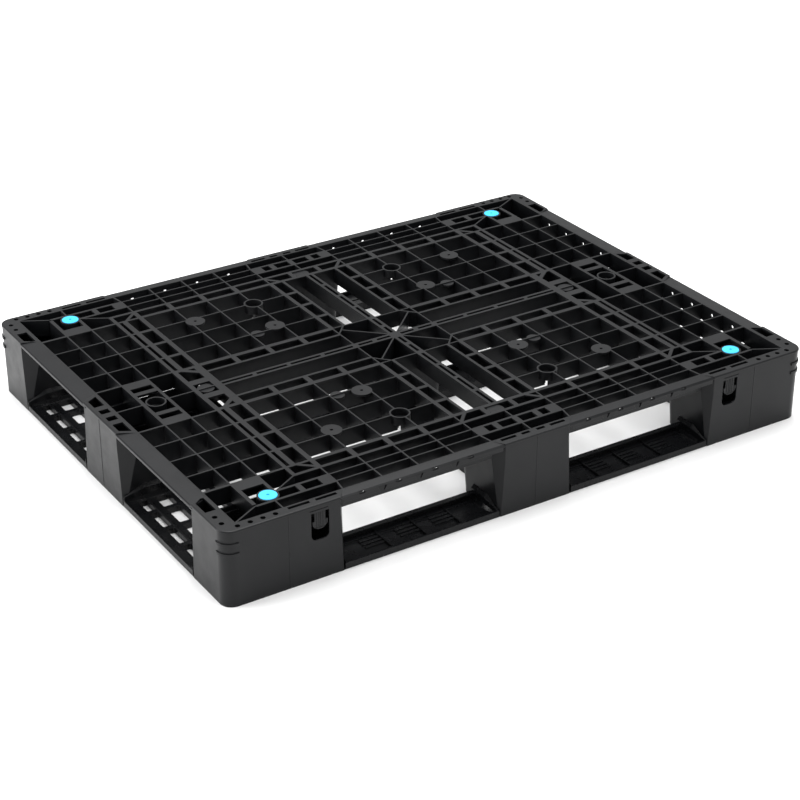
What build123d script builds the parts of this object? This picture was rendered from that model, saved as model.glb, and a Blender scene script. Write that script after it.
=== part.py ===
"""Four-way plastic pallet, 1200 x 900 x 140 mm.

A ribbed upper deck on nine hollow legs snaps onto a lower deck of seven boards, which leaves
four pallet-truck windows. Posts that stand on the lower deck plug into the legs, and a tongue
in each corner leg hooks into its post. Four rubber grommets stand 1 mm proud of the deck.

X runs along the length, Y across, Z up. The origin is under the pallet's centre, on the floor.
"""

import os
from math import atan2, degrees, hypot

from build123d import *

os.makedirs("parts", exist_ok=True)

# ---- driving dimensions -------------------------------------------------------------------
LENGTH, WIDTH, HEIGHT = 1200, 900, 140

RIB = 2.8  # webs of the deck grid
SKIN = 3.5  # flanges and plates on top of the webs
DECK_DEPTH = 32
DECK_UNDER = HEIGHT - DECK_DEPTH
WALL = 3

GRID_X, GRID_Y = 568, 430  # half size of the deck grid, inside the rim
RIM_X, RIM_Y = GRID_X - WALL, GRID_Y - WALL
EDGE_X, EDGE_Y = 599, 449  # outer edge of the rim
FACE_X, FACE_Y = 598, 448  # outer faces of the legs and the lower deck

# Rib lines, as distances from the centre lines.
PAD_X, PAD_IN_X = 516, 466  # strip plates over the legs of the short sides
FRAME_X, LADDER_X, QUAD_X = 414.5, 399.5, 366.5  # three bands beside each short side
QUAD_END_X, BAY_X = 86, (366.5 - 86) / 4
CHANNEL_X, SPINE = 59.5, 5.75  # outer and inner walls of the centre channels
PAD_Y, PAD_IN_Y = 400.5, 376
FRAME_Y, QUAD_Y = 348, 319.5
QUAD_END_Y, BAY_Y = 84.5, (319.5 - 84.5) / 4
CHANNEL_Y = 55
RIBS_X = [QUAD_END_X + BAY_X * n for n in (1, 2, 3)]
RIBS_Y = [QUAD_END_Y + BAY_Y * n for n in (1, 2, 3)]
SMALL_RIB_X = 480

SOCKET_OD, SOCKET_ID, SOCKET_DEPTH = 37, 31, 13.5
GROMMET_AT = (481.5, 381)
GROMMET_PROUD = 1
SIDE_SOCKET_X = 491
DISC = 37

# Legs: where their sides stand at the deck. Towards the floor the sides that face an opening
# draw in by DRAFT, and the cut corners beside it shrink to a fifth.
LEG_IN_X, LEG_IN_Y = 374, 328  # inner sides of the corner legs
MID_HALF_X, MID_HALF_Y = 81, 82
CENTRE_HALF_X, CENTRE_HALF_Y = 72, 62
DRAFT = 6
FLAT_X, MID_FLAT_X, CUT_Y = 387, 66, 19  # where the flat of a long face stops, and the cut's depth
FLAT_Y, MID_FLAT_Y, CUT_X = 341, 65, 30
LEG_ROUND, CORNER_ROUND = 18, 22
SOLE = 3  # plate of the lower deck under each leg
PLATEAU = 4  # raised rim plate over each leg

LATCH_X = 425
LATCH_WIDE, LATCH_LOW, LATCH_HIGH = 33, 74, 125
TONGUE_WIDE, TONGUE_FOOT_WIDE, TONGUE_LOW, TONGUE_FOOT = 20, 28, 94, 15

# Lower deck
TRAY, SLAB, LIP, RIM_TOP = 4, 11, 12.5, 18  # tops of its floors, outer lips and inner rims
SKID_IN_Y = 373
SIDE_IN_X = 430
CENTRE_BOARD = 42  # half width of the boards that cross the middle
MARGIN = 14  # lower deck beyond the foot of each leg


def both(*values):
    """Each value and its negative, without a second zero."""
    return [s * v for v in values for s in ((1, -1) if v else (1,))]


def mirrored(x, y):
    """A point and its mirror images about the two centre lines."""
    return [(px, py) for px in both(x) for py in both(y)]


def plate(x0, x1, y0, y1, mode=Mode.ADD):
    """A rectangle between two x and two y distances, with its mirror images."""
    with Locations(*mirrored((x0 + x1) / 2, (y0 + y1) / 2)):
        Rectangle(x1 - x0, y1 - y0, mode=mode)


def along_y(x, y0, y1, width=RIB, mode=Mode.ADD):
    """A strip that runs in Y at distance x, from distance y0 to y1; y0 of 0 crosses the middle."""
    if y0 == 0:
        with Locations(*[(px, 0) for px in both(x)]):
            Rectangle(width, 2 * y1, mode=mode)
    else:
        plate(x - width / 2, x + width / 2, y0, y1, mode)


def along_x(y, x0, x1, width=RIB, mode=Mode.ADD):
    """A strip that runs in X at distance y, from distance x0 to x1; x0 of 0 crosses the middle."""
    if x0 == 0:
        with Locations(*[(0, py) for py in both(y)]):
            Rectangle(2 * x1, width, mode=mode)
    else:
        plate(x0, x1, y - width / 2, y + width / 2, mode)


def slanted(start, end, width=RIB):
    """A straight bar between two points, with its mirror images."""
    (x0, y0), (x1, y1) = start, end
    spots = []
    for sx, sy in mirrored(1, 1):
        angle = degrees(atan2(sy * (y1 - y0), sx * (x1 - x0)))
        spots.append(Location((sx * (x0 + x1) / 2, sy * (y0 + y1) / 2, 0), (0, 0, angle)))
    with Locations(*spots):
        Rectangle(hypot(x1 - x0, y1 - y0), width)


sockets = (
    mirrored(*GROMMET_AT)
    + mirrored(RIBS_X[0], RIBS_Y[2])
    + [(x, 0) for x in both(SIDE_SOCKET_X)]
)

# ---- deck grid: webs, then the flanges and plates that cap them ------------------------------
with BuildPart() as deck_grid:
    with BuildSketch(Plane.XY.offset(DECK_UNDER)) as webs:
        Rectangle(2 * GRID_X, 2 * GRID_Y)
        Rectangle(2 * RIM_X, 2 * RIM_Y, mode=Mode.SUBTRACT)
        along_y(PAD_X, 0, 395)
        along_y(PAD_IN_X, 0, 372)
        along_y(FRAME_X, 0, FRAME_Y)
        along_y(LADDER_X, QUAD_END_Y, QUAD_Y)
        along_y(QUAD_X, 0, PAD_Y)
        for x in RIBS_X:
            along_y(x, CHANNEL_Y, RIM_Y + 1)
        along_y(QUAD_END_X, 0, PAD_Y)
        along_y(CHANNEL_X, QUAD_END_Y, QUAD_Y)
        along_y(SPINE, 0, QUAD_Y)
        along_y(0, FRAME_Y, RIM_Y + 1)
        along_y(SMALL_RIB_X, PAD_Y, RIM_Y + 1)
        along_x(PAD_Y, 0, PAD_X)
        along_x(PAD_IN_Y, 0, PAD_IN_X)
        along_x(FRAME_Y, 0, FRAME_X)
        along_x(QUAD_Y, 0, RIM_X + 1)
        for y in RIBS_Y:
            along_x(y, CHANNEL_X, RIM_X + 1)
        along_x(QUAD_END_Y, 0, RIM_X + 1)
        along_x(CHANNEL_Y, QUAD_END_X, QUAD_X)
        along_x(SPINE, 0, QUAD_X)
        along_x(0, QUAD_X, RIM_X + 1)
        slanted((RIM_X, RIM_Y), (PAD_X, PAD_Y))
        slanted((462, PAD_IN_Y - 1), (FRAME_X, FRAME_Y))
        slanted((QUAD_X, PAD_Y), (371, RIM_Y + 1))
        slanted((QUAD_END_X, PAD_Y), (81, RIM_Y + 1))
        slanted((SPINE, SPINE), (75, 72))
        slanted((QUAD_END_X, 58), (62, QUAD_END_Y))
    extrude(amount=DECK_DEPTH)

    with BuildSketch(Plane.XY.offset(HEIGHT - SKIN)) as flanges:
        along_y(FRAME_X, 0, FRAME_Y + 3, 7)
        along_y(LADDER_X, QUAD_END_Y, QUAD_Y, 10)
        along_y(QUAD_X, 0, FRAME_Y + 3, 9)
        along_y(QUAD_END_X, QUAD_END_Y, QUAD_Y, 8)
        along_y(CHANNEL_X, QUAD_END_Y, QUAD_Y, 5.5)
        along_y(SPINE, 0, QUAD_Y, 5.5)
        along_x(FRAME_Y, 0, FRAME_X + 3, 6.5)
        along_x(QUAD_Y, 0, QUAD_X, 8)
        along_x(QUAD_Y, QUAD_X, RIM_X + 1, 5)
        along_x(QUAD_END_Y, QUAD_END_X, QUAD_X, 9.5)
        along_x(QUAD_END_Y, QUAD_X, RIM_X + 1, 4)
        along_x(CHANNEL_Y, QUAD_END_X, QUAD_X, 5.5)
        along_x(SPINE, 0, QUAD_X, 5.5)
        # Ties across the ladders, at each rib line.
        for y in RIBS_Y:
            along_x(y, QUAD_X, LADDER_X, 8)
            along_x(y, LADDER_X, FRAME_X, 5)
            along_x(y, CHANNEL_X, QUAD_END_X, 8)
            along_x(y, 0, SPINE, 8)
        for x in RIBS_X:
            along_y(x, QUAD_Y, FRAME_Y, 10)
            along_y(x, CHANNEL_Y, QUAD_END_Y, 10)
            along_y(x, 0, SPINE, 8)
        along_y(QUAD_END_X, 0, SPINE, 12)
        along_y(45, 0, SPINE, 10)
        along_x(43, 0, SPINE, 10)
        along_x(QUAD_END_Y, 0, SPINE, 12)
        Rectangle(4 * SPINE, 4 * SPINE)
        slanted((395, QUAD_Y), (QUAD_X, FRAME_Y - 3), 6)
        slanted((62, QUAD_Y), (QUAD_END_X, FRAME_Y - 3), 6)
        # Plates over the corner legs.
        plate(PAD_IN_X, PAD_X + 1.5, QUAD_Y, FRAME_Y - 3)
        plate(PAD_X - 5.5, PAD_X + 1.5, QUAD_Y, PAD_Y - 5)
        plate(PAD_IN_X - 1.5, PAD_IN_X + 4.5, QUAD_Y, PAD_IN_Y)
        along_x(PAD_Y, QUAD_X, PAD_X - 3, 5)
        along_x(PAD_IN_Y, QUAD_X, PAD_IN_X, 5)
        plate(QUAD_X, 389, PAD_IN_Y, PAD_Y)
        plate(421, 431, PAD_IN_Y, PAD_Y)
        # Plates over the legs in the middle of the long sides.
        along_x(PAD_Y, 0, QUAD_END_X, 5)
        along_x(PAD_IN_Y, 0, QUAD_END_X, 5)
        plate(64, QUAD_END_X + 1.5, PAD_IN_Y, PAD_Y)
        plate(36.5, 47.5, PAD_IN_Y, PAD_Y)
        along_y(0, PAD_IN_Y, PAD_Y, 11)
        plate(25, 34, QUAD_Y, FRAME_Y)
        # Plates over the legs in the middle of the short sides.
        along_y(PAD_X - 2, 0, QUAD_END_Y, 7)
        along_y(PAD_IN_X + 1.5, 0, QUAD_END_Y, 6)
        plate(PAD_IN_X, PAD_X + 1.5, 63, QUAD_END_Y)
        plate(PAD_IN_X, PAD_X, 36, 47)
        along_y(FRAME_X - 0.5, 0, QUAD_END_Y, 9)
        along_y(QUAD_X + 4, 0, QUAD_END_Y, 13)
        plate(QUAD_X, FRAME_X, 20, 36)
        plate(QUAD_X, FRAME_X, 78, QUAD_END_Y)
        slanted((400, QUAD_END_Y - 4), (QUAD_X + 2, 55), 8)
        # Moulding discs, and the rings of the grommet sockets.
        with Locations(*mirrored(286, 250), *mirrored(168, 155)):
            Circle(DISC / 2)
        with Locations(*sockets):
            Circle(SOCKET_OD / 2)
        with Locations(*mirrored(286, 250), *mirrored(168, 155)):
            Circle(3, mode=Mode.SUBTRACT)
    extrude(amount=SKIN)

    # Small discs, a little below the top.
    with BuildSketch(Plane.XY.offset(HEIGHT - 6)):
        with Locations(*mirrored(211, 144)):
            Circle(13)
        with Locations(*[(-8, y) for y in both(335)], *[(x, 2) for x in both(393)]):
            Circle(15.5)
    extrude(amount=4)

    # Grommet sockets: a tube with a drained floor.
    with BuildSketch(Plane.XY.offset(HEIGHT - SOCKET_DEPTH - 2.5)):
        with Locations(*sockets):
            Circle(SOCKET_OD / 2)
    extrude(amount=SOCKET_DEPTH + 2.5)
    with BuildSketch(Plane.XY.offset(HEIGHT)):
        with Locations(*sockets):
            Circle(SOCKET_ID / 2)
    extrude(amount=-SOCKET_DEPTH, mode=Mode.SUBTRACT)
    with BuildSketch(Plane.XY.offset(DECK_UNDER)):
        with Locations(*sockets):
            Circle(5)
    extrude(amount=DECK_DEPTH, mode=Mode.SUBTRACT)

    # One small drain through the rim wall in each bay between the legs.
    bays_x = [QUAD_END_X + BAY_X * (n + 0.5) for n in range(4)]
    bays_y = [QUAD_END_Y + BAY_Y * (n + 0.5) for n in range(4)]
    with BuildSketch(Plane.XZ.offset(-WIDTH / 2)):
        with Locations(*[(x, HEIGHT - 14) for x in both(*bays_x)]):
            Circle(3.5)
    extrude(amount=WIDTH / 2 - RIM_Y + 5, mode=Mode.SUBTRACT)
    with BuildSketch(Plane.XZ.offset(WIDTH / 2)):
        with Locations(*[(x, HEIGHT - 14) for x in both(*bays_x)]):
            Circle(3.5)
    extrude(amount=-(WIDTH / 2 - RIM_Y + 5), mode=Mode.SUBTRACT)
    with BuildSketch(Plane.YZ.offset(LENGTH / 2)):
        with Locations(*[(y, HEIGHT - 13) for y in both(*bays_y)]):
            Circle(3.5)
    extrude(amount=-(LENGTH / 2 - RIM_X + 5), mode=Mode.SUBTRACT)
    with BuildSketch(Plane.YZ.offset(-LENGTH / 2)):
        with Locations(*[(y, HEIGHT - 13) for y in both(*bays_y)]):
            Circle(3.5)
    extrude(amount=LENGTH / 2 - RIM_X + 5, mode=Mode.SUBTRACT)
deck_grid.part.label = "deck_grid"
export_step(deck_grid.part, "parts/deck_grid.step")

# ---- the nine legs --------------------------------------------------------------------------
# Each leg is a hollow shell, a little narrower at the floor on the sides that face the fork
# openings. A leg on the edge has its corners cut back beside each opening, deeply at the deck
# and less and less towards the floor.
COLUMNS = {-1: "left", 0: "mid", 1: "right"}
ROWS = {-1: "front", 0: "mid", 1: "back"}
LEGS = [(column, row) for row in (-1, 0, 1) for column in (-1, 0, 1)]


def leg_name(kind, column, row):
    """A leg's name, such as leg_front_left or leg_centre."""
    if column == 0 and row == 0:
        return f"{kind}_centre"
    return f"{kind}_{ROWS[row]}_{COLUMNS[column]}"


def outline(column, row, draw_in=0.0, cut=1.0, inset=0.0):
    """Plan of a leg: draw_in narrows its inner sides, cut scales the cut corners, and inset
    shrinks the whole outline."""
    if column and row:
        x0, y0 = LEG_IN_X + draw_in, LEG_IN_Y + draw_in
        a, b = cut * (FLAT_X - LEG_IN_X), cut * (FLAT_Y - LEG_IN_Y)
        points = [
            (x0, y0),
            (FACE_X - cut * CUT_X, y0),
            (FACE_X, y0 + b),
            (FACE_X, FACE_Y),
            (x0 + a, FACE_Y),
            (x0, FACE_Y - cut * CUT_Y),
        ]
        rounds = {LEG_ROUND: points[:1], CORNER_ROUND: points[3:4]}
    elif column:
        x0, y1 = LEG_IN_X + draw_in, MID_HALF_Y - draw_in
        b = cut * (MID_HALF_Y - MID_FLAT_Y)
        half = [(x0, y1), (FACE_X - cut * CUT_X, y1), (FACE_X, y1 - b)]
        points = half + [(x, -y) for x, y in reversed(half)]
        rounds = {LEG_ROUND: [(x0, y1), (x0, -y1)]}
    elif row:
        x1, y0 = MID_HALF_X - draw_in, LEG_IN_Y + draw_in
        a = cut * (MID_HALF_X - MID_FLAT_X)
        half = [(x1, y0), (x1, FACE_Y - cut * CUT_Y), (x1 - a, FACE_Y)]
        points = half + [(-x, y) for x, y in reversed(half)]
        rounds = {LEG_ROUND: [(x1, y0), (-x1, y0)]}
    else:
        x1, y1 = CENTRE_HALF_X - draw_in, CENTRE_HALF_Y - draw_in
        points = [(-x1, -y1), (x1, -y1), (x1, y1), (-x1, y1)]
        rounds = {LEG_ROUND: points}
    sx, sy = column or 1, row or 1
    with BuildSketch() as plan:
        with BuildLine():
            Polyline(*[(sx * x, sy * y) for x, y in points], close=True)
        make_face()
        for radius, spots in rounds.items():
            near = [
                vertex
                for vertex in plan.vertices()
                if any(hypot(vertex.X - sx * x, vertex.Y - sy * y) < 0.01 for x, y in spots)
            ]
            fillet(near, radius)
        if inset:
            offset(amount=-inset, kind=Kind.INTERSECTION, mode=Mode.REPLACE)
    return plan.sketch


def outside_grid():
    """Cuts the area of the deck grid out of a sketch."""
    Rectangle(2 * GRID_X, 2 * GRID_Y, mode=Mode.SUBTRACT)


for column, row in LEGS:
    with BuildPart() as leg:
        foot_plan, deck_plan = outline(column, row, DRAFT, 0.2), outline(column, row)
        foot_core = outline(column, row, DRAFT, 0.2, WALL)
        deck_core = outline(column, row, inset=WALL)
        loft([Pos(0, 0, SOLE) * foot_plan, Pos(0, 0, DECK_UNDER) * deck_plan])
        loft([Pos(0, 0, SOLE) * foot_core, Pos(0, 0, DECK_UNDER) * deck_core], mode=Mode.SUBTRACT)
        if column or row:
            # Outside the deck grid the shell goes on up to the rim plate, which overhangs by 1 mm.
            with BuildSketch(Plane.XY.offset(DECK_UNDER)):
                add(deck_plan)
                add(deck_core, mode=Mode.SUBTRACT)
                outside_grid()
            extrude(amount=DECK_DEPTH - PLATEAU)
            with BuildSketch(Plane.XY.offset(HEIGHT - PLATEAU)):
                add(outline(column, row, inset=-1))
                outside_grid()
            extrude(amount=PLATEAU)
            rim_edges = leg.edges().group_by(Axis.Z)[-1].filter_by(
                lambda edge: abs(edge.center().X) > EDGE_X - 8 or abs(edge.center().Y) > EDGE_Y - 8
            )
            fillet(rim_edges, 2.5)
        if column and row:
            # Rim plate: two slots and four holes along the length, one pocket and two holes across.
            with BuildSketch(Plane.XY.offset(HEIGHT)):
                with Locations(*[(column * x, row * 434) for x in (455.5, 405.5)]):
                    Rectangle(39, 6.5)
                with Locations(*[(column * x, row * 437) for x in (566.5, 544, 521.5, 499)]):
                    Circle(4.5)
                with Locations(*[(column * 584.5, row * y) for y in (395.5, 418)]):
                    Circle(4.5)
                with BuildLine():
                    Polyline(
                        (column * 572, row * 376),
                        (column * 591, row * 376),
                        (column * 591, row * 343),
                        (column * 578, row * 333),
                        (column * 572, row * 333),
                        close=True,
                    )
                make_face()
            extrude(amount=-PLATEAU, mode=Mode.SUBTRACT)
            # Two bumper ribs round the outer corner.
            for low in (94, 112):
                with BuildSketch(Plane.XY.offset(low)):
                    with Locations((column * (LENGTH / 2 - 60), row * (WIDTH / 2 - 60))):
                        RectangleRounded(120, 120, CORNER_ROUND + 2)
                    add(outline(column, row, inset=1), mode=Mode.SUBTRACT)
                    with Locations((column * LENGTH / 2, row * WIDTH / 2)):
                        Rectangle(58, 54, mode=Mode.INTERSECT)
                extrude(amount=5)
            # Latch window, with the tongue that hangs in it and its barb inside.
            with BuildSketch(Plane.XZ.offset(-row * FACE_Y)):
                with Locations((column * LATCH_X, (LATCH_LOW + LATCH_HIGH) / 2)):
                    Rectangle(LATCH_WIDE, LATCH_HIGH - LATCH_LOW)
                fillet(vertices().group_by(Axis.Y)[0], 10)
            extrude(amount=row * WALL * 2, both=True, mode=Mode.SUBTRACT)
            with BuildSketch(Plane.XZ.offset(-row * (FACE_Y - 0.8))):
                with Locations((column * LATCH_X, (TONGUE_LOW + LATCH_HIGH) / 2)):
                    Rectangle(TONGUE_WIDE, LATCH_HIGH - TONGUE_LOW)
                with Locations((column * LATCH_X, TONGUE_LOW + TONGUE_FOOT / 2)):
                    Rectangle(TONGUE_FOOT_WIDE, TONGUE_FOOT)
                fillet(vertices().group_by(Axis.Y)[0], 12)
            extrude(amount=row * (WALL - 0.8))
            # A raised rim round the tongue's foot, and two fine ridges down its stem.
            with BuildSketch(Plane.XZ.offset(-row * (FACE_Y - 0.8))):
                with Locations((column * LATCH_X, TONGUE_LOW + TONGUE_FOOT / 2)):
                    Rectangle(TONGUE_FOOT_WIDE, TONGUE_FOOT)
                fillet(vertices().group_by(Axis.Y)[0], 12)
                with Locations((column * LATCH_X, TONGUE_LOW + TONGUE_FOOT / 2 + 2.4)):
                    Rectangle(TONGUE_FOOT_WIDE - 5.6, TONGUE_FOOT, mode=Mode.SUBTRACT)
            extrude(amount=-row * 0.8)
            with Locations(*[(column * LATCH_X + x, row * (FACE_Y - 0.6), 111) for x in both(6, 1.5)]):
                Box(1, 1, 26)
            with Locations((column * LATCH_X, row * (FACE_Y - WALL - 1), TONGUE_LOW + 6)):
                Box(TONGUE_WIDE - 4, 3, 7)
            # A fine groove over the window.
            with Locations((column * (LATCH_X + 2), row * FACE_Y, 130)):
                Box(34, 2, 1.5, mode=Mode.SUBTRACT)
        elif column:
            # Four pockets in the rim plate of a short side.
            with BuildSketch(Plane.XY.offset(HEIGHT)):
                for flip in (1, -1):
                    with BuildLine():
                        Polyline(
                            (column * 572, flip * 36),
                            (column * 591, flip * 36),
                            (column * 591, flip * 62),
                            (column * 572, flip * 73),
                            close=True,
                        )
                    make_face()
                with Locations(*[(column * 581.5, y) for y in both(14.5)]):
                    Rectangle(18, 15)
            extrude(amount=-PLATEAU, mode=Mode.SUBTRACT)
        elif row:
            # Four slots in the rim plate of a long side.
            with BuildSketch(Plane.XY.offset(HEIGHT)):
                with Locations(*[(x, row * 434) for x in both(15.5)]):
                    Rectangle(17, 6.5)
                with Locations(*[(x, row * 434) for x in both(50.5)]):
                    Rectangle(31, 6.5)
            extrude(amount=-PLATEAU, mode=Mode.SUBTRACT)
        # A fine witness bead down the middle of each outer face.
        if row:
            with Locations((column * 482, row * FACE_Y, (SOLE + HEIGHT - PLATEAU) / 2)):
                Box(1.4, 0.8, HEIGHT - PLATEAU - SOLE)
        if column and not row:
            with Locations((column * FACE_X, 4, (SOLE + HEIGHT - PLATEAU) / 2)):
                Box(0.8, 1.4, HEIGHT - PLATEAU - SOLE)
    leg.part.label = leg_name("leg", column, row)
    export_step(leg.part, f"parts/{leg.part.label}.step")

# ---- rim between the legs -------------------------------------------------------------------
# A plate that slopes down to a lip along its outer edge.
LONG_LIP, SHORT_LIP = 12, 6
RAIL_SKIN, LIP_WALL = 3, 2.5
for column, row in mirrored(1, 1):
    # Rim rail of a long side.
    with BuildPart() as rail:
        with BuildSketch(Plane.YZ.offset(column * 60)):
            with BuildLine():
                Polyline(
                    (row * GRID_Y, HEIGHT),
                    (row * (EDGE_Y - 3), HEIGHT - 1),
                    (row * EDGE_Y, HEIGHT - 4),
                    (row * EDGE_Y, HEIGHT - LONG_LIP),
                    (row * (EDGE_Y - LIP_WALL), HEIGHT - LONG_LIP),
                    (row * (EDGE_Y - LIP_WALL), HEIGHT - 1 - RAIL_SKIN),
                    (row * GRID_Y, HEIGHT - RAIL_SKIN),
                    close=True,
                )
            make_face()
        extrude(amount=column * (FLAT_X - 60))
        # Webs behind the lip, at each rib line.
        with BuildSketch(Plane.XY.offset(HEIGHT - LONG_LIP)):
            with Locations(*[(column * x, row * (GRID_Y + EDGE_Y - LIP_WALL) / 2) for x in RIBS_X]):
                Rectangle(RIB, EDGE_Y - LIP_WALL - GRID_Y)
        extrude(amount=LONG_LIP - RAIL_SKIN - 0.5)
        # Notches in the lip beside each web, and a small drain slot in each bay.
        with BuildSketch(Plane.XZ.offset(-row * EDGE_Y)):
            for x in [column * rib for rib in RIBS_X]:
                with BuildLine():
                    Polyline(
                        (x - 21, HEIGHT - 4),
                        (x - 4, HEIGHT - 4),
                        (x - 9, HEIGHT - LONG_LIP - 1),
                        (x - 16, HEIGHT - LONG_LIP - 1),
                        close=True,
                    )
                make_face()
            with Locations(*[(column * x - 16, HEIGHT - 4) for x in bays_x]):
                SlotOverall(12, 4)
        extrude(amount=row * (LIP_WALL + 1), both=True, mode=Mode.SUBTRACT)
        # The legs and their raised plates stop the rim, and its lip ends short of them.
        with BuildSketch(Plane.XY.offset(DECK_UNDER)):
            add(outline(column, row, inset=-5))
            add(outline(0, row, inset=-5))
        extrude(amount=DECK_DEPTH - PLATEAU - 1.5, mode=Mode.SUBTRACT)
        with BuildSketch(Plane.XY.offset(DECK_UNDER)):
            add(outline(column, row))
            add(outline(0, row))
        extrude(amount=DECK_DEPTH, mode=Mode.SUBTRACT)
        with BuildSketch(Plane.XY.offset(HEIGHT - PLATEAU)):
            add(outline(column, row, inset=-1))
            add(outline(0, row, inset=-1))
        extrude(amount=PLATEAU + 1, mode=Mode.SUBTRACT)
    rail.part.label = f"rim_{ROWS[row]}_{COLUMNS[column]}"
    export_step(rail.part, f"parts/{rail.part.label}.step")

    # Rim rail of a short side.
    with BuildPart() as rail:
        with BuildSketch(Plane.XZ.offset(-row * 58)):
            with BuildLine():
                Polyline(
                    (column * GRID_X, HEIGHT),
                    (column * (EDGE_X - 2), HEIGHT - 2.5),
                    (column * EDGE_X, HEIGHT - 4),
                    (column * EDGE_X, HEIGHT - SHORT_LIP - 2.5),
                    (column * (EDGE_X - LIP_WALL), HEIGHT - SHORT_LIP - 2.5),
                    (column * (EDGE_X - LIP_WALL), HEIGHT - 2.5 - RAIL_SKIN),
                    (column * GRID_X, HEIGHT - RAIL_SKIN),
                    close=True,
                )
            make_face()
        extrude(amount=-row * (FLAT_Y - 58))
        with BuildSketch(Plane.XY.offset(HEIGHT - SHORT_LIP - 2)):
            with Locations(*[(column * (GRID_X + EDGE_X - LIP_WALL) / 2, row * y) for y in RIBS_Y]):
                Rectangle(EDGE_X - LIP_WALL - GRID_X, RIB)
        extrude(amount=SHORT_LIP - 1.5)
        with BuildSketch(Plane.XY.offset(DECK_UNDER)):
            add(outline(column, row))
            add(outline(column, 0))
        extrude(amount=DECK_DEPTH, mode=Mode.SUBTRACT)
        with BuildSketch(Plane.XY.offset(HEIGHT - PLATEAU)):
            add(outline(column, row, inset=-1))
            add(outline(column, 0, inset=-1))
        extrude(amount=PLATEAU + 1, mode=Mode.SUBTRACT)
    rail.part.label = f"rim_{COLUMNS[column]}_{ROWS[row]}"
    export_step(rail.part, f"parts/{rail.part.label}.step")

# ---- lower deck: feet -------------------------------------------------------------------------
# Each foot is a sole under its leg, a length of board wherever a board meets it, a collar that
# leans on the leg there, and a hollow post that stands on the sole and plugs into the leg.
GAP, POST_TOP, CATCH_POST_TOP = 1, 60, 104
CATCH_WIDE, CATCH_LOW = 37, 66
FOOT_IN_X, FOOT_IN_Y = LEG_IN_X + DRAFT, LEG_IN_Y + DRAFT
FOOT_HALF_X, FOOT_HALF_Y = MID_HALF_X - DRAFT, MID_HALF_Y - DRAFT
LAP = 12  # how far a board runs on under a leg's side
# Corners of a collar's section, as distance from the leg's foot and height over the floor.
COLLAR = [(2, 0), (2, 26), (7.8, 20), (7.8, 7), (13, 0)]
COLLAR_TIP = [(2, 0), (2, 9.5), (3, 9), (3.5, 4), (4, 0)]


def tray(row, start, end):
    """A length of the shallow tray under a long side, between two x values."""
    with BuildSketch(Plane.YZ.offset(start)) as profile:
        with BuildLine():
            Polyline(
                (row * (FACE_Y - 1.2), 0),
                (row * FACE_Y, 1.2),
                (row * FACE_Y, LIP),
                (row * (FACE_Y - 4), LIP),
                (row * (FACE_Y - 4), TRAY),
                (row * (SKID_IN_Y + 3), TRAY),
                (row * (SKID_IN_Y + 3), RIM_TOP - 3),
                (row * (SKID_IN_Y + 10), RIM_TOP - 3),
                (row * (SKID_IN_Y + 10), RIM_TOP),
                (row * SKID_IN_Y, RIM_TOP),
                (row * SKID_IN_Y, 0),
                close=True,
            )
        make_face()
    extrude(profile.sketch, amount=end - start)


def slab(column, start, end):
    """A length of the thick plate under a short side, between two y values."""
    with BuildSketch(Plane.XZ.offset(-start)) as profile:
        with BuildLine():
            Polyline(
                (column * (FACE_X - 1.2), 0),
                (column * FACE_X, 1.2),
                (column * FACE_X, LIP),
                (column * (FACE_X - 3), LIP),
                (column * (FACE_X - 3), SLAB),
                (column * (SIDE_IN_X + 8), SLAB),
                (column * (SIDE_IN_X + 8), RIM_TOP),
                (column * SIDE_IN_X, RIM_TOP),
                (column * SIDE_IN_X, 0),
                close=True,
            )
        make_face()
    extrude(profile.sketch, amount=start - end)


def centre_tray(along_x, start, end):
    """A length of a board across the middle, between two values of x or of y."""
    middle, long = (start + end) / 2, abs(end - start)
    spot, turn = ((middle, 0), 0) if along_x else ((0, middle), 90)
    with BuildSketch() as floor:
        with Locations(Location((*spot, 0), (0, 0, turn))):
            Rectangle(long, 2 * CENTRE_BOARD)
    extrude(floor.sketch, amount=TRAY)
    with BuildSketch(Plane.XY.offset(TRAY)) as rims:
        with Locations(Location((*spot, 0), (0, 0, turn))):
            with GridLocations(1, 2 * CENTRE_BOARD - 5, 1, 2):
                Rectangle(long, 5)
    extrude(rims.sketch, amount=RIM_TOP - TRAY)


def collar(foot, side, inner, outer, along_x):
    """A collar against a leg whose foot ends here; it faces side and tapers to its outer end."""
    floor = SLAB if along_x else TRAY
    taper = outer - 37 if outer > inner else outer + 37
    sections = []
    for place, profile in ((inner, COLLAR), (taper, COLLAR), (outer, COLLAR_TIP)):
        across = [(foot + side * away, floor + high - (0 if high else 2)) for away, high in profile]
        corners = [(place, v, z) if along_x else (v, place, z) for v, z in across]
        sections.append(Face(Wire.make_polygon([Vector(*corner) for corner in corners], close=True)))
    loft(sections[:2], ruled=True)
    loft(sections[1:], ruled=True)


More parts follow.
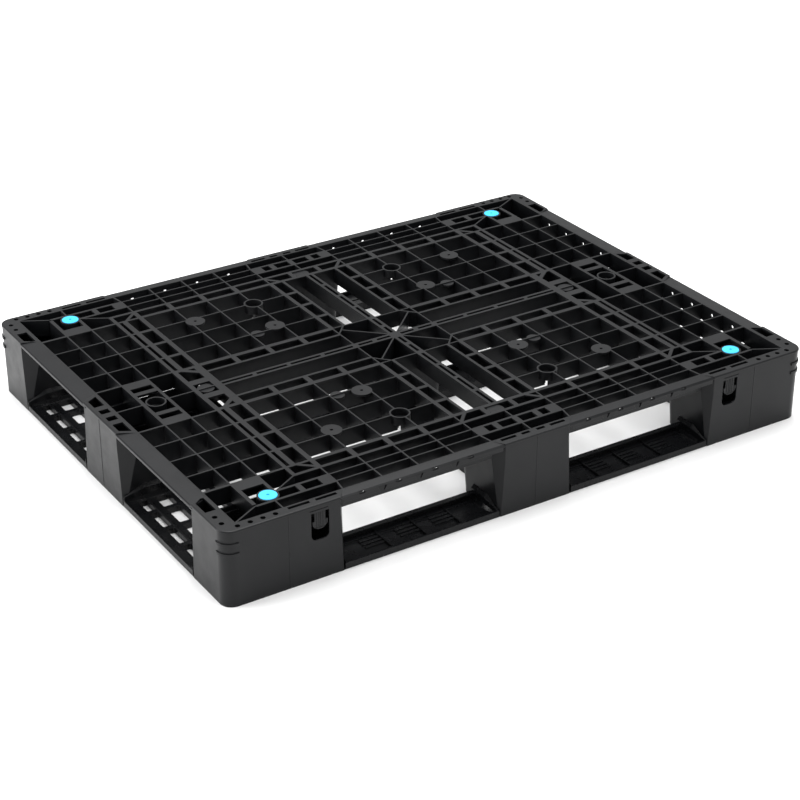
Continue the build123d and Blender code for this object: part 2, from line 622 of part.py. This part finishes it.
for column, row in LEGS:
    sx, sy = column or 1, row or 1
    with BuildPart() as foot:
        with BuildSketch():
            add(outline(column, row, DRAFT, 0.2))
        extrude(amount=SOLE)
        for side in (-1, 1):
            if row and (not column or side < 0):
                # Where a long side's tray meets the foot.
                end = side * FOOT_HALF_X if not column else column * FOOT_IN_X
                way = side if not column else -column
                tray(row, end - way * LAP, end + way * MARGIN)
                collar(end, way, row * SKID_IN_Y, row * FACE_Y, along_x=False)
            if column and (not row or side < 0):
                # Where a short side's plate meets the foot.
                end = side * FOOT_HALF_Y if not row else row * FOOT_IN_Y
                way = side if not row else -row
                slab(column, end - way * LAP, end + way * MARGIN)
                collar(end, way, column * SIDE_IN_X, column * FACE_X, along_x=True)
        if column and not row:
            centre_tray(True, column * (FOOT_IN_X - MARGIN), column * (FOOT_IN_X + LAP))
        if row and not column:
            centre_tray(False, row * (FOOT_IN_Y - MARGIN), row * (FOOT_IN_Y + LAP))
        if not column and not row:
            reach_x, reach_y = CENTRE_HALF_X - DRAFT + MARGIN, CENTRE_HALF_Y - DRAFT + MARGIN
            centre_tray(True, -reach_x, reach_x)
            centre_tray(False, -reach_y, reach_y)
        # Well for the leg, down to the sole.
        with BuildSketch(Plane.XY.offset(SOLE)):
            add(outline(column, row, DRAFT - 1.9, 0.1))
        extrude(amount=HEIGHT, mode=Mode.SUBTRACT)
        # Post.
        with BuildSketch(Plane.XY.offset(SOLE)):
            add(outline(column, row, DRAFT, 1.0, WALL + GAP))
            add(outline(column, row, DRAFT, 1.0, 2 * WALL + GAP), mode=Mode.SUBTRACT)
        extrude(amount=(CATCH_POST_TOP if column and row else POST_TOP) - SOLE)
        if column and row:
            # Catch for the leg's tongue.
            with Locations((column * LATCH_X, row * (FACE_Y - WALL - 3), (CATCH_LOW + HEIGHT) / 2)):
                Box(CATCH_WIDE, 12, HEIGHT - CATCH_LOW, mode=Mode.SUBTRACT)
    foot.part.label = leg_name("foot", column, row)
    export_step(foot.part, f"parts/{foot.part.label}.step")

# ---- lower deck: boards between the feet --------------------------------------------------------
# The long sides have shallow trays with fine ribs in them, the short sides a thicker plate with
# rows of holes, and the middle two more trays that cross under the centre leg.
HOLE_LONG, HOLE_PITCH, HOLE_FIRST = 50, 59.5, {1: 103, -1: 126}
HOLE_COLUMNS = [(570, 15.5), (534.5, 25), (500.5, 25), (466.5, 25)]  # x and width
BARS_X, BAR_PITCH, BAR_LONG = [97 + 69 * n for n in range(4)], 10, 37
SEAT_X, SEAT_Y = FOOT_IN_X - MARGIN, FOOT_IN_Y - MARGIN
MID_SEAT_X, MID_SEAT_Y = FOOT_HALF_X + MARGIN, FOOT_HALF_Y + MARGIN

for column, row in mirrored(1, 1):
    # Tray under a long side, with a ledge, groups of three bars and cross ribs.
    with BuildPart() as board:
        tray(row, column * MID_SEAT_X, column * SEAT_X)
        with BuildSketch(Plane.XY.offset(TRAY)) as bars:
            with Locations((column * (MID_SEAT_X + SEAT_X) / 2, row * (SKID_IN_Y + 9))):
                Rectangle(SEAT_X - MID_SEAT_X, 12)
            with Locations(*[(column * x, row * 406) for x in BARS_X[1:]]):
                with GridLocations(1, BAR_PITCH, 1, 3):
                    Rectangle(BAR_LONG, 5)
        extrude(bars.sketch, amount=3)
        with BuildSketch(Plane.XY.offset(TRAY)) as cross:
            with Locations(*[(column * (x - 20), row * (SKID_IN_Y + FACE_Y - 1) / 2) for x in BARS_X[1:]]):
                Rectangle(2.5, FACE_Y - SKID_IN_Y - 6)
        extrude(cross.sketch, amount=5)
    board.part.label = f"board_{ROWS[row]}_{COLUMNS[column]}"
    export_step(board.part, f"parts/{board.part.label}.step")

    # Plate under a short side; its holes match those of the plate diagonally opposite.
    with BuildPart() as board:
        slab(column, row * MID_SEAT_Y, row * SEAT_Y)
        with BuildSketch() as rib:
            with Locations((column * 560, row * (MID_SEAT_Y + SEAT_Y) / 2)):
                Rectangle(2, SEAT_Y - MID_SEAT_Y)
        extrude(rib.sketch, amount=LIP)
        first = HOLE_FIRST[column * row]
        with BuildSketch() as holes:
            for x, wide in HOLE_COLUMNS:
                with Locations(*[(column * x, row * (first + HOLE_PITCH * n)) for n in range(4)]):
                    RectangleRounded(wide, HOLE_LONG, 3)
            with Locations((column * 515, row * (MID_SEAT_Y + SEAT_Y) / 2)):
                Rectangle(150, SEAT_Y - MID_SEAT_Y - 5, mode=Mode.INTERSECT)
        extrude(holes.sketch, amount=LIP, mode=Mode.SUBTRACT)
    board.part.label = f"board_{COLUMNS[column]}_{ROWS[row]}"
    export_step(board.part, f"parts/{board.part.label}.step")

for side in (-1, 1):
    # Trays from the centre foot to a short side and to a long side, with cross ribs.
    for along_x, start, end, name in (
        (True, CENTRE_HALF_X - DRAFT + MARGIN, SEAT_X, COLUMNS[side]),
        (False, CENTRE_HALF_Y - DRAFT + MARGIN, SEAT_Y, ROWS[side]),
    ):
        with BuildPart() as board:
            centre_tray(along_x, side * start, side * end)
            places = [side * (start + (end - start) * n / 5) for n in (1, 2, 3, 4)]
            with BuildSketch(Plane.XY.offset(TRAY)) as cross:
                for place in places:
                    with Locations((place, 0) if along_x else (0, place)):
                        Rectangle(*((3, 2 * CENTRE_BOARD - 8) if along_x else (2 * CENTRE_BOARD - 8, 3)))
            extrude(cross.sketch, amount=8)
        board.part.label = f"board_centre_{name}"
        export_step(board.part, f"parts/{board.part.label}.step")

# ---- rubber grommets ----------------------------------------------------------------------------
for column, row in mirrored(1, 1):
    spot = (column * GROMMET_AT[0], row * GROMMET_AT[1])
    with BuildPart() as grommet:
        with BuildSketch(Plane.XY.offset(HEIGHT - SOCKET_DEPTH)):
            with Locations(spot):
                Circle(SOCKET_ID / 2 - 0.1)
        extrude(amount=SOCKET_DEPTH + GROMMET_PROUD)
        fillet(grommet.edges().group_by(Axis.Z)[-1], 0.9)
        with BuildSketch(Plane.XY.offset(HEIGHT + GROMMET_PROUD)):
            with Locations(spot):
                Circle(2.5)
        extrude(amount=-1.5, mode=Mode.SUBTRACT)
    grommet.part.label = f"grommet_{ROWS[row]}_{COLUMNS[column]}"
    export_step(grommet.part, f"parts/{grommet.part.label}.step")
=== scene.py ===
"""Looks of the plastic pallet: black moulded plastic with blue rubber grommets, on a pale floor."""

import bpy
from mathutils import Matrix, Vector

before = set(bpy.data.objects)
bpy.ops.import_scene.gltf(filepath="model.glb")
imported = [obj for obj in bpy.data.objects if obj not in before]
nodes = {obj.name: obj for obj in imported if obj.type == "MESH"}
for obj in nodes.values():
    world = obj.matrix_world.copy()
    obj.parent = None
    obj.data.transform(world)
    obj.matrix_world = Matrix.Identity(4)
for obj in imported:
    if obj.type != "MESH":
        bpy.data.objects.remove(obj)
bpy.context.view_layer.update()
scene = bpy.context.scene

# Lengths are in metres; +X runs along the pallet, +Y across it and +Z up.
EDGE_RADIUS = 0.0009  # of the edges' rounding in the plastics' shading
FLOOR_SIZE = 60
TARGET = Vector((0, 0, 0.05))  # what the lamps look at
CAMERA_AT, CAMERA_AIM = (-1.7563, -2.7747, 1.7496), (0.4741, 0.7447, -0.4696)
LENS, SENSOR = 88.909, 36  # millimetres


# ---- materials ------------------------------------------------------------------------------
def shader(name):
    """A new material with its node tree, principled shader and object coordinates."""
    mat = bpy.data.materials.new(name)
    mat.use_nodes = True
    tree = mat.node_tree
    bsdf = tree.nodes["Principled BSDF"]
    place = tree.nodes.new("ShaderNodeTexCoord")
    return mat, tree, bsdf, place


def noise(tree, place, scale, detail=4.0, rough=0.55, stretch=None):
    """A noise texture in metres; stretch squeezes it along the axes."""
    tex = tree.nodes.new("ShaderNodeTexNoise")
    tex.inputs["Scale"].default_value = scale
    tex.inputs["Detail"].default_value = detail
    tex.inputs["Roughness"].default_value = rough
    if stretch:
        mapping = tree.nodes.new("ShaderNodeMapping")
        mapping.inputs["Scale"].default_value = stretch
        tree.links.new(place.outputs["Object"], mapping.inputs["Vector"])
        tree.links.new(mapping.outputs["Vector"], tex.inputs["Vector"])
    else:
        tree.links.new(place.outputs["Object"], tex.inputs["Vector"])
    return tex


def ramp(tree, source, low, high, start, end):
    """Maps a 0 to 1 value onto start..end between low and high."""
    node = tree.nodes.new("ShaderNodeMapRange")
    node.inputs["From Min"].default_value = low
    node.inputs["From Max"].default_value = high
    node.inputs["To Min"].default_value = start
    node.inputs["To Max"].default_value = end
    tree.links.new(source, node.inputs["Value"])
    return node.outputs["Result"]


def tint(tree, factor, first, second):
    """A blend of two colours by a 0 to 1 value."""
    node = tree.nodes.new("ShaderNodeMix")
    node.data_type = "RGBA"
    node.inputs["A"].default_value = (*first, 1)
    node.inputs["B"].default_value = (*second, 1)
    tree.links.new(factor, node.inputs["Factor"])
    return node.outputs["Result"]


def bump(tree, bsdf, height, strength, distance, round_edges=0.0):
    """Fine surface relief; round_edges softens sharp edges by that radius so that they glint."""
    node = tree.nodes.new("ShaderNodeBump")
    node.inputs["Strength"].default_value = strength
    node.inputs["Distance"].default_value = distance
    tree.links.new(height, node.inputs["Height"])
    if round_edges:
        edge = tree.nodes.new("ShaderNodeBevel")
        edge.samples = 4
        edge.inputs["Radius"].default_value = round_edges
        tree.links.new(edge.outputs["Normal"], node.inputs["Normal"])
    tree.links.new(node.outputs["Normal"], bsdf.inputs["Normal"])


def plastic(name, dark, light, gloss):
    """Moulded polypropylene: near black, faint flow marks, fine grain, slightly uneven gloss."""
    mat, tree, bsdf, place = shader(name)
    flow = noise(tree, place, 9.0, 3.0, 0.5, (1.0, 1.0, 0.35))
    grain = noise(tree, place, 1400.0, 2.0, 0.6)
    cloud = noise(tree, place, 32.0, 5.0, 0.6)
    colour = tint(tree, ramp(tree, flow.outputs["Fac"], 0.35, 0.7, 0, 1), dark, light)
    tree.links.new(colour, bsdf.inputs["Base Color"])
    uneven = ramp(tree, cloud.outputs["Fac"], 0.3, 0.75, gloss - 0.06, gloss + 0.07)
    tree.links.new(uneven, bsdf.inputs["Roughness"])
    bsdf.inputs["Specular IOR Level"].default_value = 0.22
    bump(tree, bsdf, grain.outputs["Fac"], 0.2, 0.0002, EDGE_RADIUS)
    return mat


def rubber(name):
    """Soft blue rubber, a little paler where it is worn."""
    mat, tree, bsdf, place = shader(name)
    worn = noise(tree, place, 90.0, 4.0, 0.6)
    grain = noise(tree, place, 1800.0, 2.0, 0.6)
    share = ramp(tree, worn.outputs["Fac"], 0.35, 0.7, 0, 1)
    colour = tint(tree, share, (0.018, 0.40, 0.78), (0.035, 0.50, 0.86))
    tree.links.new(colour, bsdf.inputs["Base Color"])
    tree.links.new(ramp(tree, worn.outputs["Fac"], 0.3, 0.7, 0.5, 0.62), bsdf.inputs["Roughness"])
    bump(tree, bsdf, grain.outputs["Fac"], 0.2, 0.0002)
    return mat


def studio_floor(name):
    """Matt white with a very faint mottle."""
    mat, tree, bsdf, place = shader(name)
    mottle = noise(tree, place, 3.0, 3.0, 0.5)
    share = ramp(tree, mottle.outputs["Fac"], 0.3, 0.7, 0, 1)
    colour = tint(tree, share, (0.80, 0.80, 0.80), (0.83, 0.83, 0.83))
    tree.links.new(colour, bsdf.inputs["Base Color"])
    bsdf.inputs["Roughness"].default_value = 0.9
    bsdf.inputs["Specular IOR Level"].default_value = 0.1
    return mat


# The deck parts are slightly paler and duller than the feet and boards; the darker colour of the
# feet and boards is painted shade for where they sit under the deck, while the gloss difference is
# the plastic's own.
deck_plastic = plastic("deck_plastic", (0.0040, 0.0043, 0.0050), (0.0060, 0.0064, 0.0073), 0.36)
base_plastic = plastic("base_plastic", (0.0036, 0.0038, 0.0044), (0.0052, 0.0055, 0.0062), 0.28)
grommet_rubber = rubber("grommet_rubber")

for name, node in nodes.items():
    node.data.materials.clear()
    if name.startswith("grommet"):
        node.data.materials.append(grommet_rubber)
    # Feet and boards take the darker copy of the plastic, which has painted shade in its colour.
    elif name.startswith(("foot", "board")):
        node.data.materials.append(base_plastic)
    else:
        node.data.materials.append(deck_plastic)


# ---- floor and light ------------------------------------------------------------------------
bpy.ops.mesh.primitive_plane_add(size=FLOOR_SIZE, location=(0, 0, 0))
floor = bpy.context.object
floor.name = "floor"
floor.data.materials.append(studio_floor("floor"))

world = bpy.data.worlds.new("studio")
scene.world = world
world.use_nodes = True
background = world.node_tree.nodes["Background"]
background.inputs["Color"].default_value = (1, 1, 1, 1)
background.inputs["Strength"].default_value = 0.75


def softbox(name, spot, size, power):
    """An area light that looks at the pallet; size is its width and height, power is in watts."""
    data = bpy.data.lights.new(name, "AREA")
    data.shape = "RECTANGLE"
    data.size, data.size_y = size
    data.energy = power
    lamp = bpy.data.objects.new(name, data)
    scene.collection.objects.link(lamp)
    lamp.location = spot
    lamp.rotation_euler = (TARGET - Vector(spot)).to_track_quat("-Z", "Y").to_euler()


softbox("top", (0.2, 0.6, 4.5), (4.0, 4.0), 280)
softbox("left", (-3.0, 0.9, 0.9), (1.6, 1.2), 75)
softbox("front", (0.6, -2.8, 3.6), (2.4, 1.0), 40)
softbox("back", (1.0, 2.4, 3.8), (3.0, 1.4), 40)

# ---- camera ---------------------------------------------------------------------------------
camera_data = bpy.data.cameras.new("camera")
camera_data.sensor_width = SENSOR
camera_data.lens = LENS
camera = bpy.data.objects.new("camera", camera_data)
scene.collection.objects.link(camera)
camera.location = CAMERA_AT
camera.rotation_euler = Vector(CAMERA_AIM).to_track_quat("-Z", "Y").to_euler()
scene.camera = camera
scene.view_settings.view_transform = "Standard"
